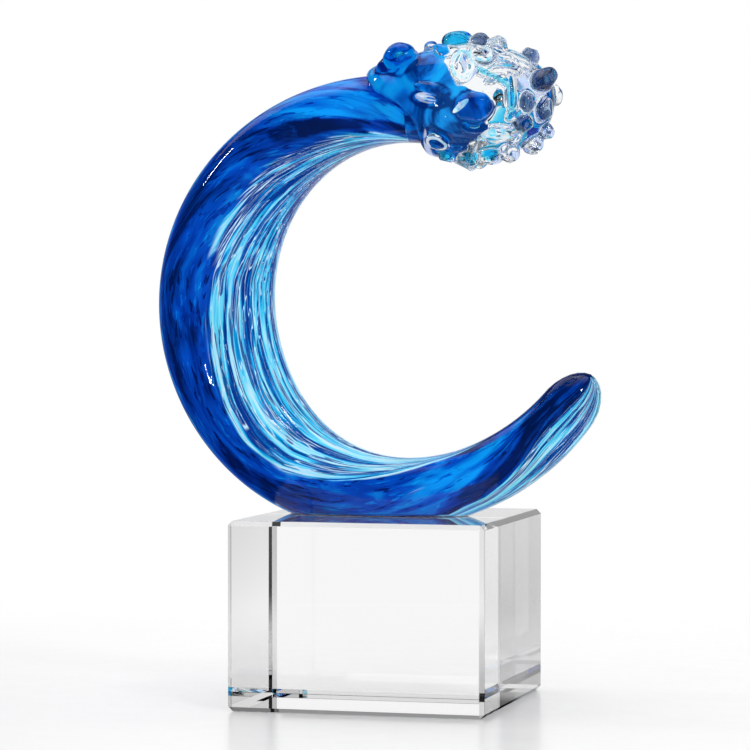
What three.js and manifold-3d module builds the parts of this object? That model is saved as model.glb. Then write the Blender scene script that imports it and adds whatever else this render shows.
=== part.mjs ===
// Art glass wave award: a cased blue glass wave with a foaming crest, bonded to a crystal block.
// Millimetres, +Z up. The origin is the centre of the block's underside, and the block's front faces -Y.
import * as THREE from "three";
import { mergeVertices } from "three/addons/utils/BufferGeometryUtils.js";
import Module from "manifold-3d";

const wasm = await Module();
wasm.setup();

// Crystal block
const BLOCK_WIDTH = 114.3;
const BLOCK_DEPTH = 114.3;
const BLOCK_HEIGHT = 82.55;
const BLOCK_CHAMFER = 2;

// Seats: the cured adhesive under the wave, and the clearance between glass laid on glass
const BOND_THICKNESS = 0.3;
const SEAT_GAP = 0.3;

// Wave: a tapering rod swept round its eye. Angles run from the right over the top and down the left side.
const EYE_OFFSET = 5;
const FOOT_GROUND_OFF = 7.7;
const SPINE_RADIUS = 84.8;
const SPINE_SAG = 1.8;
const SAG_ANGLE = 242;
const SAG_REACH = 32;
const CREST_END_ANGLE = 78;
const THICKEST_ANGLE = 186;
const TAIL_ANGLE = 275;
const TAIL_TIP_ANGLE = 339.8;
const TAIL_ROUND_ANGLE = 11;
const TAIL_FLARE = 7.5;
const TAIL_FLARE_POWER = 2;
const SWELL_REACH = 108;
const SWELL_POWER = 1.8;
const ROD_WIDTH_MIDDLE = 54;
const ROD_WIDTH_ENDS = 30;
const ROD_WIDTH_TAIL = 24;
const ROD_DEPTH_MIDDLE = 46;
const ROD_DEPTH_ENDS = 29;
const ROD_DEPTH_TAIL = 24;

// Flutes drawn along the rod: on the eye's side of the bend, and on the far side of the tail
const FLUTES_ACROSS_BAND = 7;
const FLUTE_DEPTH = 1.1;
const BEND_FLUTES = { middleTurn: 0, halfBand: 95, from: 84, to: 305, edge: 60 };
const TAIL_FLUTES = { middleTurn: 180, halfBand: 85, from: 280, to: 336, edge: 25 };
const ROD_SIDES = 50;

// Blue core: how much clear glass lies over it on each side
const CASING_OUTSIDE = 3;
const CASING_SIDES = 3;
const CASING_INSIDE_MIDDLE = 22;
const CASING_INSIDE_ENDS = 5;
const CASING_FOOT = 2.5;
const CASING_TIP_ANGLE = 3;
const CORE_SIDES = 12;

// Crest: a second gather of glass over the end of the rod, with a hood that narrows to a point over the neck
const CREST_AHEAD = 10;
const CREST_RISE = 7.5;
const CREST_TILT = 7;
const CREST_HALF_LENGTH = 40;
const CREST_HALF_DEPTH = 27;
const CREST_HALF_HEIGHT = 24;
const HOOD_LENGTH = 45.4;
const HOOD_LIFT = 6.5;
const HOOD_TAPER = 1.4;
const HOOD_ROUND = 0.85;
const CREST_LOBES = [
  { along: -0.24, around: 98, rise: -0.16, spread: 11 },
  { along: -0.35, around: 130, rise: 0.09, spread: 26 },
  { along: -0.2, around: 250, rise: 0.08, spread: 34 },
  { along: 0.6, around: 12, rise: 0.15, spread: 36 },
  { along: 0.7, around: 170, rise: 0.06, spread: 28 },
];

// Blue skin inside the crest: where it lies under the surface, how far towards the neck it goes, and how far
// it reaches along the crest by the turn from the top, 0, round the front, 90, and the back, 270
const BLUE_SKIN_TOP = 2.2;
const BLUE_SKIN_BOTTOM = 6;
const BLUE_SKIN_NECK_LENGTH = 42;
const BLUE_SKIN_REACH = [
  [0, -0.15], [35, -0.12], [58, -0.05], [72, 0.12], [90, 0.26], [108, 0.3], [130, 0.25],
  [150, 0.22], [180, 0.1], [225, -0.2], [270, -0.45], [315, -0.35], [360, -0.15],
];
const BLUE_SKIN_SIDES = 18;
const BLUE_SKIN_ROWS = 4;

// Foam drops laid on the crest one by one. along runs from the neck, -1, to the nose, 1, and around
// is the turn about the crest's length from the top, 0, by the front, 90. Sizes are half lengths, and
// spin turns a drop where it lies.
const FRONT_DROPS = [
  { name: "blue", along: -0.61, around: 36, length: 7.8, width: 6.8, height: 6.8 },
  { name: "blue", along: -0.74, around: 54, length: 4.8, width: 4.2, height: 4 },
  { name: "blue", along: -0.2, around: 84, length: 8.6, width: 2.4, height: 2.6, spin: -6 },
  { name: "blue", along: 0.29, around: 97, length: 8.4, width: 6.4, height: 5, spin: 14 },
  { name: "blue", along: 0.3, around: 119, length: 5.8, width: 3, height: 3 },
  { name: "blue", along: 0.62, around: 73, length: 2.4, width: 9, height: 2.6, spin: 12 },
  { name: "clear", along: -0.14, around: 34, length: 6.8, width: 3.4, height: 3, spin: -14 },
  { name: "clear", along: 0.08, around: 60, length: 3.4, width: 8, height: 4.2, spin: 10 },
  { name: "clear", along: 0.22, around: 41, length: 5.4, width: 4.8, height: 4.6 },
  { name: "clear", along: 0.5, around: 52, length: 7.6, width: 2.6, height: 3.4, spin: 24 },
  { name: "clear", along: 0.55, around: 36, length: 8, width: 2.8, height: 3.6, spin: 4 },
  { name: "clear", along: 0.79, around: 84, length: 3.8, width: 5.2, height: 3.6 },
  { name: "clear", along: 0.54, around: 128, length: 8.2, width: 4, height: 3.6, spin: -10 },
  { name: "clear", along: -0.1, around: 140, length: 5.6, width: 3.8, height: 3.8, spin: 20 },
  { name: "clear", along: -0.05, around: 164, length: 4.6, width: 4.2, height: 4.4 },
  { name: "clear", along: 0.2, around: 162, length: 4.6, width: 4.4, height: 4.8 },
  { name: "clear", along: 0.41, around: 160, length: 4.6, width: 4.2, height: 4.4 },
  { name: "clear", along: 0.6, around: 158, length: 4.4, width: 4.2, height: 4.6 },
  { name: "clear", along: 0.77, around: 116, length: 4.8, width: 4.4, height: 4 },
];
const RIDGE_DROPS = [
  { name: "clear", along: -0.36, around: 6, length: 3.2, width: 3, height: 3.2 },
  { name: "blue", along: -0.1, around: 6, length: 7.4, width: 6.2, height: 5 },
  { name: "clear", along: 0.14, around: 10, length: 4.8, width: 4.6, height: 4 },
  { name: "clear", along: 0.32, around: 14, length: 4.4, width: 4.2, height: 4 },
  { name: "clear", along: 0.62, around: 10, length: 4.2, width: 4, height: 4 },
  { name: "clear", along: 0.84, around: 34, length: 4.8, width: 8.4, height: 5.2, spin: -14 },
  { name: "clear", along: 0.94, around: 92, length: 4.4, width: 5.2, height: 3.4 },
  { name: "clear", along: 0.94, around: 320, length: 4.2, width: 5.4, height: 3.6 },
  { name: "clear", along: 0.93, around: 168, length: 3.8, width: 3.8, height: 4 },
  { name: "clear", along: 0.8, around: 168, length: 5, width: 4.6, height: 5 },
  { name: "clear", along: 0.24, around: 184, length: 4.2, width: 4.2, height: 4.4 },
];
const BACK_SHIFT = -0.07;
const DROP_STANDS_PROUD = 0.2;

// Mesh fineness
const ROD_STATIONS = 28;
const TIP_STATIONS = 5;
const CREST_SEGMENTS = [28, 15];
const DROP_SEGMENTS = [10, 6];

const BOX_SIDE = 2 * (SPINE_RADIUS + ROD_WIDTH_MIDDLE);
const { cos, sin, sqrt, exp, PI } = Math;
const rad = THREE.MathUtils.degToRad;

// The sculpture's own frame has the eye of the wave at its origin, and its foot is ground into the rod.
const underside = stationAt(270);
const FOOT_LEVEL = underside.middle.z - underside.halfWidth + FOOT_GROUND_OFF;
const EYE_LEVEL = BLOCK_HEIGHT + BOND_THICKNESS - FOOT_LEVEL;

// Glass finishes
const glass = (color, opacity, roughness = 0.02) =>
  new THREE.MeshStandardMaterial({ color, roughness, metalness: 0, transparent: true, opacity });
const crystal = () => glass(0xf2f5f6, 0.3);
const curedAdhesive = () => glass(0xe6eef2, 0.4, 0.1);
const casingGlass = () => glass(0xa9ddf7, 0.35);
const blueGlass = () => glass(0x0a48c8, 0.85);
const foamGlass = () => glass(0xe4f0f6, 0.4);

// Solids for joining and cutting
function solidOf(geometry) {
  const bare = new THREE.BufferGeometry().setIndex(geometry.index);
  bare.setAttribute("position", geometry.getAttribute("position"));
  const merged = mergeVertices(bare, 1e-4);
  const vertProperties = merged.getAttribute("position").array;
  const triVerts = new Uint32Array(merged.index.array);
  return new wasm.Manifold(new wasm.Mesh({ numProp: 3, vertProperties, triVerts }));
}

function geometryOf(solid) {
  const mesh = solid.getMesh();
  const geometry = new THREE.BufferGeometry();
  geometry.setAttribute("position", new THREE.BufferAttribute(mesh.vertProperties, 3));
  geometry.setIndex(new THREE.BufferAttribute(mesh.triVerts, 1));
  return geometry;
}

// Everything below a level, as a solid to cut with
function groundBelow(level) {
  const box = new THREE.BoxGeometry(BOX_SIDE, BOX_SIDE, BOX_SIDE);
  return solidOf(box.translate(0, 0, level - BOX_SIDE / 2));
}

// A closed skin over rings of points, with a fan to the middle of each end ring
function skinOver(rings) {
  const sides = rings[0].length;
  const middleOf = (ring) =>
    ring.reduce((sum, point) => sum.add(point), new THREE.Vector3()).divideScalar(sides);
  const points = [...rings.flat(), middleOf(rings[0]), middleOf(rings.at(-1))];
  const startMiddle = points.length - 2;
  const endMiddle = points.length - 1;
  const lastRing = (rings.length - 1) * sides;
  const index = [];
  for (let j = 0; j < sides; j++) {
    const next = (j + 1) % sides;
    for (let base = 0; base < lastRing; base += sides) {
      index.push(base + j, base + next, base + sides + j);
      index.push(base + next, base + sides + next, base + sides + j);
    }
    index.push(startMiddle, next, j);
    index.push(endMiddle, lastRing + j, lastRing + next);
  }
  return new THREE.BufferGeometry().setFromPoints(points).setIndex(index);
}

// The rod's swell: 1 at its thickest, 0 where it has thinned to its ends
function swellAt(angle) {
  const turn = Math.min(1, Math.abs(angle - THICKEST_ANGLE) / SWELL_REACH);
  return cos((turn * PI) / 2) ** SWELL_POWER;
}

// How far along the tail an angle lies: 0 where the tail starts to leave the circle, 1 at its tip
function tailAt(angle) {
  return Math.max(0, angle - TAIL_ANGLE) / (TAIL_TIP_ANGLE - TAIL_ANGLE);
}

function spinePoint(angle) {
  const sag = SPINE_SAG * exp(-(((angle - SAG_ANGLE) / SAG_REACH) ** 2));
  const radius = SPINE_RADIUS + sag + TAIL_FLARE * tailAt(angle) ** TAIL_FLARE_POWER;
  return new THREE.Vector3(radius * cos(rad(angle)), 0, radius * sin(rad(angle)));
}

// One place along the rod: its middle, the way towards the eye, and half its width and depth
function stationAt(angle) {
  const step = 0.5;
  const along = spinePoint(angle + step).sub(spinePoint(angle - step)).normalize();
  const inward = new THREE.Vector3(-along.z, 0, along.x);
  const swell = swellAt(angle);
  const between = (ends, middle, tail) =>
    ends + (middle - ends) * swell + (tail - ends) * tailAt(angle) ** 2;
  const halfWidth = between(ROD_WIDTH_ENDS, ROD_WIDTH_MIDDLE, ROD_WIDTH_TAIL) / 2;
  const halfDepth = between(ROD_DEPTH_ENDS, ROD_DEPTH_MIDDLE, ROD_DEPTH_TAIL) / 2;
  return { angle, middle: spinePoint(angle), along, inward, swell, halfWidth, halfDepth };
}

// A ring of the rod's section: turn 0 faces the eye, 90 the front and 180 away from the eye
function ringAt(station, halfWidth, halfDepth, shift, turns, cutAt = () => 0) {
  return turns.map((turn) => {
    const cut = cutAt(turn);
    const across = (halfWidth - cut) * cos(rad(turn)) - shift;
    const point = station.middle.clone().addScaledVector(station.inward, across);
    point.y = -(halfDepth - cut) * sin(rad(turn));
    return point;
  });
}

// Stations from one angle to a rounded tip. full is 1 along the rod and falls to near 0 round the tip.
function stationsTo(tipAngle, startAngle) {
  const roundFrom = tipAngle - TAIL_ROUND_ANGLE;
  const stations = [];
  for (let i = 0; i <= ROD_STATIONS; i++) {
    const angle = startAngle + ((roundFrom - startAngle) * i) / ROD_STATIONS;
    stations.push({ ...stationAt(angle), full: 1 });
  }
  for (let i = 1; i <= TIP_STATIONS; i++) {
    const quarter = (i / (TIP_STATIONS + 0.4)) * (PI / 2);
    const angle = roundFrom + TAIL_ROUND_ANGLE * sin(quarter);
    stations.push({ ...stationAt(angle), full: cos(quarter) });
  }
  return stations;
}

// How deep one band's flutes cut at a place: full along its middle, fading to its ends and its sides
function bandCut({ middleTurn, halfBand, from, to, edge }, angle, turn) {
  const offset = Math.abs(((turn - middleTurn + 540) % 360) - 180);
  const inside = Math.min(angle - from, to - angle) / edge;
  if (offset >= halfBand || inside <= 0) return 0;
  const fade = cos(((offset / halfBand) * PI) / 2) * sin((Math.min(1, inside) * PI) / 2);
  return FLUTE_DEPTH * fade * (0.5 + 0.5 * cos((offset / halfBand) * FLUTES_ACROSS_BAND * PI));
}

// The outside of the rod, grown by a clearance where another piece seats round it
function rodSkin(grow = 0) {
  const startAngle = CREST_END_ANGLE - (grow * 180) / (PI * SPINE_RADIUS);
  const turns = Array.from({ length: ROD_SIDES }, (_, i) => (i * 360) / ROD_SIDES);
  const rings = stationsTo(TAIL_TIP_ANGLE, startAngle).map((station) => {
    const { angle, full, halfWidth, halfDepth } = station;
    const cutAt = (turn) => full * (bandCut(BEND_FLUTES, angle, turn) + bandCut(TAIL_FLUTES, angle, turn));
    return ringAt(station, halfWidth * full + grow, halfDepth * full + grow, 0, turns, cutAt);
  });
  return skinOver(rings);
}

// The blue core, set towards the outside of the bend, or the hollow that holds it
function coreSkin(grow, startAngle) {
  const turns = Array.from({ length: CORE_SIDES }, (_, i) => (i * 360) / CORE_SIDES);
  const tip = TAIL_TIP_ANGLE - CASING_TIP_ANGLE;
  const rings = stationsTo(tip, startAngle).map((station) => {
    const { full, swell, halfWidth, halfDepth } = station;
    const inside = CASING_INSIDE_ENDS + (CASING_INSIDE_MIDDLE - CASING_INSIDE_ENDS) * swell;
    const width = (halfWidth - (inside + CASING_OUTSIDE) / 2) * full + grow;
    const depth = (halfDepth - CASING_SIDES) * full + grow;
    return ringAt(station, width, depth, (inside - CASING_OUTSIDE) / 2, turns);
  });
  return solidOf(skinOver(rings)).subtract(groundBelow(FOOT_LEVEL + CASING_FOOT - grow));
}

function waveCasing() {
  const overrun = 2;
  const hollow = coreSkin(SEAT_GAP, CREST_END_ANGLE - overrun);
  return solidOf(rodSkin()).subtract(groundBelow(FOOT_LEVEL)).subtract(hollow);
}

// Crest frame: x along the crest's length away from the neck, y to the back, z up and out of the bend
const crestEnd = stationAt(CREST_END_ANGLE);
const crestFrame = new THREE.Matrix4()
  .makeRotationY(rad(CREST_TILT))
  .setPosition(
    crestEnd.middle
      .clone()
      .addScaledVector(crestEnd.along, -CREST_AHEAD)
      .addScaledVector(crestEnd.inward, -CREST_RISE),
  );

function crestDirection(along, around) {
  const girth = sqrt(1 - along ** 2);
  return new THREE.Vector3(along, -girth * sin(rad(around)), girth * cos(rad(around)));
}

// A point of the crest's lobed surface in the crest frame, grown by a clearance
function crestPoint(direction, grow = 0) {
  let swell = 1;
  for (const { along, around, rise, spread } of CREST_LOBES) {
    const apart = direction.angleTo(crestDirection(along, around)) / rad(spread);
    swell += rise * exp(-(apart ** 2));
  }
  const hood = Math.max(0, -direction.x);
  const round = sqrt(1 - hood ** 2);
  const narrow = round > 0 ? (1 - hood ** HOOD_TAPER) ** HOOD_ROUND / round : 0;
  const girth = hood > 0 ? swell * narrow : swell;
  const halfLength = hood > 0 ? HOOD_LENGTH : CREST_HALF_LENGTH;
  const lift = HOOD_LIFT * hood ** HOOD_TAPER;
  return new THREE.Vector3(
    direction.x * (halfLength * swell + grow),
    direction.y * (CREST_HALF_DEPTH * girth + grow),
    direction.z * (CREST_HALF_HEIGHT * girth + grow) + lift,
  );
}

function crestSkin(grow = 0) {
  const geometry = new THREE.SphereGeometry(1, ...CREST_SEGMENTS);
  const position = geometry.getAttribute("position");
  const direction = new THREE.Vector3();
  for (let i = 0; i < position.count; i++) {
    direction.fromBufferAttribute(position, i).normalize();
    position.setXYZ(i, ...crestPoint(direction, grow));
  }
  return solidOf(geometry.applyMatrix4(crestFrame));
}

// How far along the crest the blue skin reaches at a turn about the crest's length
function blueSkinReach(around) {
  const next = Math.max(1, BLUE_SKIN_REACH.findIndex(([place]) => place >= around));
  const [[left, low], [right, high]] = BLUE_SKIN_REACH.slice(next - 1, next + 1);
  return THREE.MathUtils.mapLinear(around, left, right, low, high);
}

// The blue skin as a cup that is open towards the nose, grown by a clearance for the hollow that holds it
function blueCup(grow = 0) {
  const turns = Array.from({ length: BLUE_SKIN_SIDES }, (_, i) => (i * 360) / BLUE_SKIN_SIDES);
  const ringAtShare = (share, depth) =>
    turns.map((turn) => {
      const reach = blueSkinReach(turn) + grow / CREST_HALF_LENGTH;
      const along = THREE.MathUtils.lerp(-BLUE_SKIN_NECK_LENGTH / HOOD_LENGTH, reach, share);
      return crestPoint(crestDirection(along, turn), -depth).applyMatrix4(crestFrame);
    });
  const shares = Array.from({ length: BLUE_SKIN_ROWS + 1 }, (_, i) => i / BLUE_SKIN_ROWS);
  const outside = shares.map((share) => ringAtShare(share, BLUE_SKIN_TOP - grow));
  const inside = shares.map((share) => ringAtShare(share, BLUE_SKIN_BOTTOM + grow)).reverse();
  return solidOf(skinOver([...outside, ...inside]));
}

function blueSkin() {
  return blueCup().subtract(solidOf(rodSkin(SEAT_GAP)));
}

function crestGather() {
  return crestSkin().subtract(solidOf(rodSkin(SEAT_GAP))).subtract(blueCup(SEAT_GAP));
}

// A drop as a whole ellipsoid, half sunk in the crest, grown by a clearance
function dropSkin({ along, around, length, width, height, spin = 0 }, grow = 0) {
  const direction = crestDirection(along, around);
  const out = new THREE.Vector3(
    direction.x / CREST_HALF_LENGTH,
    direction.y / CREST_HALF_DEPTH,
    direction.z / CREST_HALF_HEIGHT,
  ).normalize();
  const forward = new THREE.Vector3(1, 0, 0).projectOnPlane(out).normalize().applyAxisAngle(out, rad(spin));
  const side = forward.clone().cross(out);
  const seat = crestPoint(direction).addScaledVector(out, DROP_STANDS_PROUD * height);
  const frame = new THREE.Matrix4().makeBasis(forward, out, side).setPosition(seat);
  const geometry = new THREE.SphereGeometry(1, ...DROP_SEGMENTS);
  geometry.scale(length + grow, height + grow, width + grow).applyMatrix4(frame);
  return solidOf(geometry.applyMatrix4(crestFrame));
}

const backDrops = FRONT_DROPS.map((drop) => ({
  ...drop,
  along: drop.along + BACK_SHIFT,
  around: 360 - drop.around,
  spin: -(drop.spin ?? 0),
}));

// The drops in the order they are laid, each cut clear of the rod, the crest and the drops before it
function foamDrops() {
  const seats = crestSkin(SEAT_GAP).add(solidOf(rodSkin(SEAT_GAP)));
  const laid = [];
  const counts = { blue: 0, clear: 0 };
  for (const drop of [...FRONT_DROPS, ...RIDGE_DROPS, ...backDrops]) {
    let solid = dropSkin(drop).subtract(seats);
    for (const earlier of laid) {
      solid = solid.subtract(dropSkin(earlier.drop, SEAT_GAP));
    }
    counts[drop.name] += 1;
    const name = `${drop.name}_foam_drop_${String(counts[drop.name]).padStart(2, "0")}`;
    laid.push({ drop, name, solid });
  }
  return laid;
}

// The block with every edge bevelled alike
function crystalBlock() {
  const halfWidth = BLOCK_WIDTH / 2;
  const halfDepth = BLOCK_DEPTH / 2;
  const corners = [];
  for (const [x, y] of [[1, 1], [-1, 1], [-1, -1], [1, -1]]) {
    const sideEdge = new THREE.Vector2(x * halfWidth, y * (halfDepth - BLOCK_CHAMFER));
    const frontEdge = new THREE.Vector2(x * (halfWidth - BLOCK_CHAMFER), y * halfDepth);
    corners.push(...(x * y > 0 ? [sideEdge, frontEdge] : [frontEdge, sideEdge]));
  }
  const block = new THREE.ExtrudeGeometry(new THREE.Shape(corners), {
    depth: BLOCK_HEIGHT - 2 * BLOCK_CHAMFER,
    bevelThickness: BLOCK_CHAMFER,
    bevelSize: BLOCK_CHAMFER,
    bevelOffset: -BLOCK_CHAMFER,
    bevelSegments: 1,
  });
  return solidOf(block.translate(0, 0, BLOCK_CHAMFER));
}

// The adhesive fills the slice between the wave's ground foot and the block
function bondFilm() {
  const rod = solidOf(rodSkin());
  return rod.subtract(groundBelow(FOOT_LEVEL - BOND_THICKNESS)).intersect(groundBelow(FOOT_LEVEL));
}

function addPiece(group, name, solid, material) {
  const mesh = new THREE.Mesh(geometryOf(solid), material);
  mesh.name = name;
  group.add(mesh);
}

const award = new THREE.Group();
const sculpture = new THREE.Group();
sculpture.position.set(EYE_OFFSET, 0, EYE_LEVEL);
award.add(sculpture);

addPiece(award, "base_block", crystalBlock(), crystal());
addPiece(sculpture, "bond_film", bondFilm(), curedAdhesive());
addPiece(sculpture, "wave_casing", waveCasing(), casingGlass());
addPiece(sculpture, "wave_blue_core", coreSkin(0, CREST_END_ANGLE), blueGlass());
addPiece(sculpture, "crest_gather", crestGather(), casingGlass());
addPiece(sculpture, "crest_blue_skin", blueSkin(), blueGlass());
for (const { drop, name, solid } of foamDrops()) {
  addPiece(sculpture, name, solid, drop.name === "blue" ? blueGlass() : foamGlass());
}

export default award;
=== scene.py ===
"""Art glass wave award: a cased blue glass wave with a foaming crest, bonded to a crystal block.

Sizes are in millimetres and angles in degrees. A piece becomes metres when it is finished.
"""
from math import atan2, cos, degrees, exp, hypot, pi, radians, sin, sqrt

import bmesh
import bpy
from mathutils import Matrix, Vector, noise


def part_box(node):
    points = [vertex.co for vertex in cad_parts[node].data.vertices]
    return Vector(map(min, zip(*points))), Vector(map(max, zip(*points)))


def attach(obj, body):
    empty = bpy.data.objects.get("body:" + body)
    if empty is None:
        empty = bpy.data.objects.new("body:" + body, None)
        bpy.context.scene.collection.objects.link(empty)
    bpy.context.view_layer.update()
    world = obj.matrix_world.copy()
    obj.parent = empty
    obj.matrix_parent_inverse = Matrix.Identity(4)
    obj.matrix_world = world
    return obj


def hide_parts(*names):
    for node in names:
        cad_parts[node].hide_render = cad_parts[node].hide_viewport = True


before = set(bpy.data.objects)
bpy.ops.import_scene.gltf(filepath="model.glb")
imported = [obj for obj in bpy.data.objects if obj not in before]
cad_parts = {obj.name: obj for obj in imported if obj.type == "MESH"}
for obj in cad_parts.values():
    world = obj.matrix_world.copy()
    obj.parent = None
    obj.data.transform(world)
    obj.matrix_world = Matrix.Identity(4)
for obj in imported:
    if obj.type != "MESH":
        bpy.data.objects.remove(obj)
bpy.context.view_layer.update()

MM = 0.001

# Wave: the same rod round its eye as the solids have. Angles of the bend run from the right over the top and
# down the left. Turns run round the rod, from 0 at the eye's side over 90 at the front to 180 on the outside.
EYE = Vector((5, 0, 177.53))
FOOT_LEVEL = 82.85
SPINE_RADIUS = 84.8
SPINE_SAG = 1.8
SAG_ANGLE = 242
SAG_SPREAD = 32
CREST_END_ANGLE = 78
THICKEST_ANGLE = 186
SWELL_REACH = 108
SWELL_FALL = 1.8
TAIL_ANGLE = 275
TAIL_TIP_ANGLE = 339.8
TAIL_ROUND_ANGLE = 11
TAIL_FLARE = 7.5
ROD_WIDTH = {"ends": 30, "middle": 54, "tail": 24}
ROD_DEPTH = {"ends": 29, "middle": 46, "tail": 24}
CASING_INSET = 0.4
CASING_TIP_ANGLE = TAIL_TIP_ANGLE - 0.1

# Each rod is first spun as a plain ring of this radius, round a circle of 1. That gives its vertices their
# angles and turns.
SPIN_RADIUS = 3

# Flutes: how far round to the front they reach, from the eye's side and, in the tail, from the outside
FLUTES_FROM_EYE = [
    (84, 20), (97, 42), (105, 54), (122, 69), (133, 78), (144, 81), (177, 82), (190, 85), (201, 90),
    (213, 96), (224, 99), (236, 96), (251, 78), (263, 60), (273, 45), (283, 30), (300, 18), (312, 10),
]
FLUTES_FROM_BELOW = [
    (262, 8), (275, 20), (289, 42), (296, 47), (304, 60), (310, 72), (317, 86), (323, 90), (330, 87),
    (338, 72),
]
EYE_FLUTES_FADE = (312, 287)
BELOW_FLUTES_FADE = (268, 283)
BAND_EDGE_FADE = (1.14, 0.86)
FLUTES_IN_BAND = 15
FLUTE_DEPTH = 0.35
DEEP_FLUTE_REACH = 100

# Flow of the streaks: the turns that the edges of the two bands keep to, and how much the streaks slant
# towards the neck, and from which angle on
FLOW_BANDS = (85, 130)
FLOW_SLANT = 0.6
FLOW_SLANT_FROM = 172

# Blue core: thick on the outside of the bend and a thin streaky layer towards the eye. It winds to the eye's
# side in the tail. The lists give clear glass over it and how much thinner it is at the flutes, by angle.
CLEAR_INSIDE = [(80, 2), (140, 3.2), (255, 3.2), (300, 2), (340, 1.5)]
CLEAR_OUTSIDE = 1.1
THIN_LAYER = [(85, 0.1), (145, 0.2), (255, 0.2), (300, 0.14), (335, 0.1)]
STREAK_RELIEF = 1.6
CORE_START_ANGLE = CREST_END_ANGLE + 8
CORE_TIP_ANGLE = TAIL_TIP_ANGLE - 1.2
CORE_FOOT_LEVEL = FOOT_LEVEL + 1

# Stretches of the bend: the angle where each begins and the angle where it is fully there
NECK_STRETCH = (140, 116)
FOOT_STRETCH = (238, 260)
TAIL_STRETCH = (284, 296)

# Tones of the blue, by angle: how pale the streaks are, and painted light and shade: the turn where the
# neck's painted light blue meets the painted dark under it, and the turns from which and to which the blue
# near the foot and in the tail has painted light, and how much
STREAK_PALE = [
    (84, 0), (110, -0.06), (145, -0.05), (172, 0.02), (215, 0.05), (245, 0.06), (265, 0.11), (285, 0.08),
    (300, -0.02), (340, -0.03),
]
NECK_EDGE = [(84, 50), (94, 63), (101, 72), (112, 90), (119, 104), (125, 115), (134, 130)]
NECK_LINE = 14
LIT_FROM = [(260, 45), (285, 35), (300, 15), (315, 0)]
LIT_TO = [
    (275, 190), (283, 130), (290, 113), (296, 100), (301, 80), (306, 70), (310, 62), (315, 55), (325, 30),
    (338, 0),
]
LIT_BY = [(250, 0.4), (275, 0.6), (290, 1.1), (320, 1)]
# How far the painted bright rim and navy band along the outside wind round the rod, in degrees: as far as the
# camera is turned, so that they keep to the outline seen from it
EDGE_WINDING = 15.3

# Crest: a second gather of glass over the end of the rod, with a hood that narrows to a point over the neck
CREST_MIDDLE = Vector((34.0, 0, 265.78))
CREST_TILT = 7
CREST_HALF = Vector((40, 27, 24))
HOOD_LENGTH = 45.4
HOOD_LIFT = 6.5
HOOD_TAPER = 1.4
HOOD_ROUND = 0.85
HOOD_HOLLOW = 0.14
CREST_FRAME = Matrix.Translation(CREST_MIDDLE) @ Matrix.Rotation(radians(CREST_TILT), 4, "Y")

# Lobes of the crest: place along and around it, rise as a share of its size, and spread
CREST_LOBES = [
    (-0.24, 98, -0.16, 11),
    (-0.35, 130, 0.09, 26),
    (-0.2, 250, 0.08, 34),
    (0.6, 12, 0.15, 36),
    (0.7, 170, 0.06, 28),
]

# Hood: where the lip of the crest's glass lies along the neck, by the turn from the eye's side to the outside
HOOD_EDGE = [(0, 80.5), (42, 81), (66, 82), (81, 85), (96, 88), (108, 92), (120, 95), (144, 97), (180, 98.5)]
HOOD_THICKNESS = 4.2
HOOD_LIP_ROUND = 3
HOOD_SUNK = -3
HOOD_START_ANGLE = 60
HOOD_END_ANGLE = 102
HOOD_BLUE_INSET = 0.7

# Foam drops: tone, place along and around the crest, half length, width and height, and spin. A hearted drop
# is clear with a blue heart. A drop with painted shade is clear with grey glass inside, which stands in for
# the dark surroundings seen through it.
FRONT_DROPS = [
    ("blue", -0.61, 36, 7.8, 6.8, 6.8, 0),
    ("blue", -0.74, 54, 4.8, 4.2, 4, 0),
    ("blue", -0.2, 84, 8.6, 2.4, 2.6, -6),
    ("blue", 0.29, 97, 8.4, 6.4, 5, 14),
    ("blue", 0.3, 119, 5.8, 3, 3, 0),
    ("blue", 0.62, 73, 2.4, 9, 2.6, 12),
    ("clear", -0.14, 34, 6.8, 3.4, 3, -14),
    ("clear", 0.08, 60, 3.4, 8, 4.2, 10),
    ("clear", 0.22, 41, 5.4, 4.8, 4.6, 0),
    ("clear", 0.5, 52, 7.6, 2.6, 3.4, 24),
    ("clear", 0.55, 36, 8, 2.8, 3.6, 4),
    ("smoky", 0.79, 84, 3.8, 5.2, 3.6, 0),
    ("clear", 0.54, 128, 8.2, 4, 3.6, -10),
    ("clear", -0.1, 140, 5.6, 3.8, 3.8, 20),
    ("hearted", -0.05, 164, 4.6, 4.2, 4.4, 0),
    ("hearted", 0.2, 162, 4.6, 4.4, 4.8, 0),
    ("hearted", 0.41, 160, 4.6, 4.2, 4.4, 0),
    ("clear", 0.6, 158, 4.4, 4.2, 4.6, 0),
    ("smoky", 0.77, 116, 4.8, 4.4, 4, 0),
]
RIDGE_DROPS = [
    ("clear", -0.36, 6, 3.2, 3, 3.2, 0),
    ("blue", -0.1, 6, 7.4, 6.2, 5, 0),
    ("smoky", 0.14, 10, 4.8, 4.6, 4, 0),
    ("clear", 0.32, 14, 4.4, 4.2, 4, 0),
    ("smoky", 0.62, 10, 4.2, 4, 4, 0),
    ("smoky", 0.84, 34, 4.8, 8.4, 5.2, -14),
    ("smoky", 0.94, 92, 4.4, 5.2, 3.4, 0),
    ("clear", 0.94, 320, 4.2, 5.4, 3.6, 0),
    ("clear", 0.93, 168, 3.8, 3.8, 4, 0),
    ("clear", 0.8, 168, 5, 4.6, 5, 0),
    ("clear", 0.24, 184, 4.2, 4.2, 4.4, 0),
]

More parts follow.
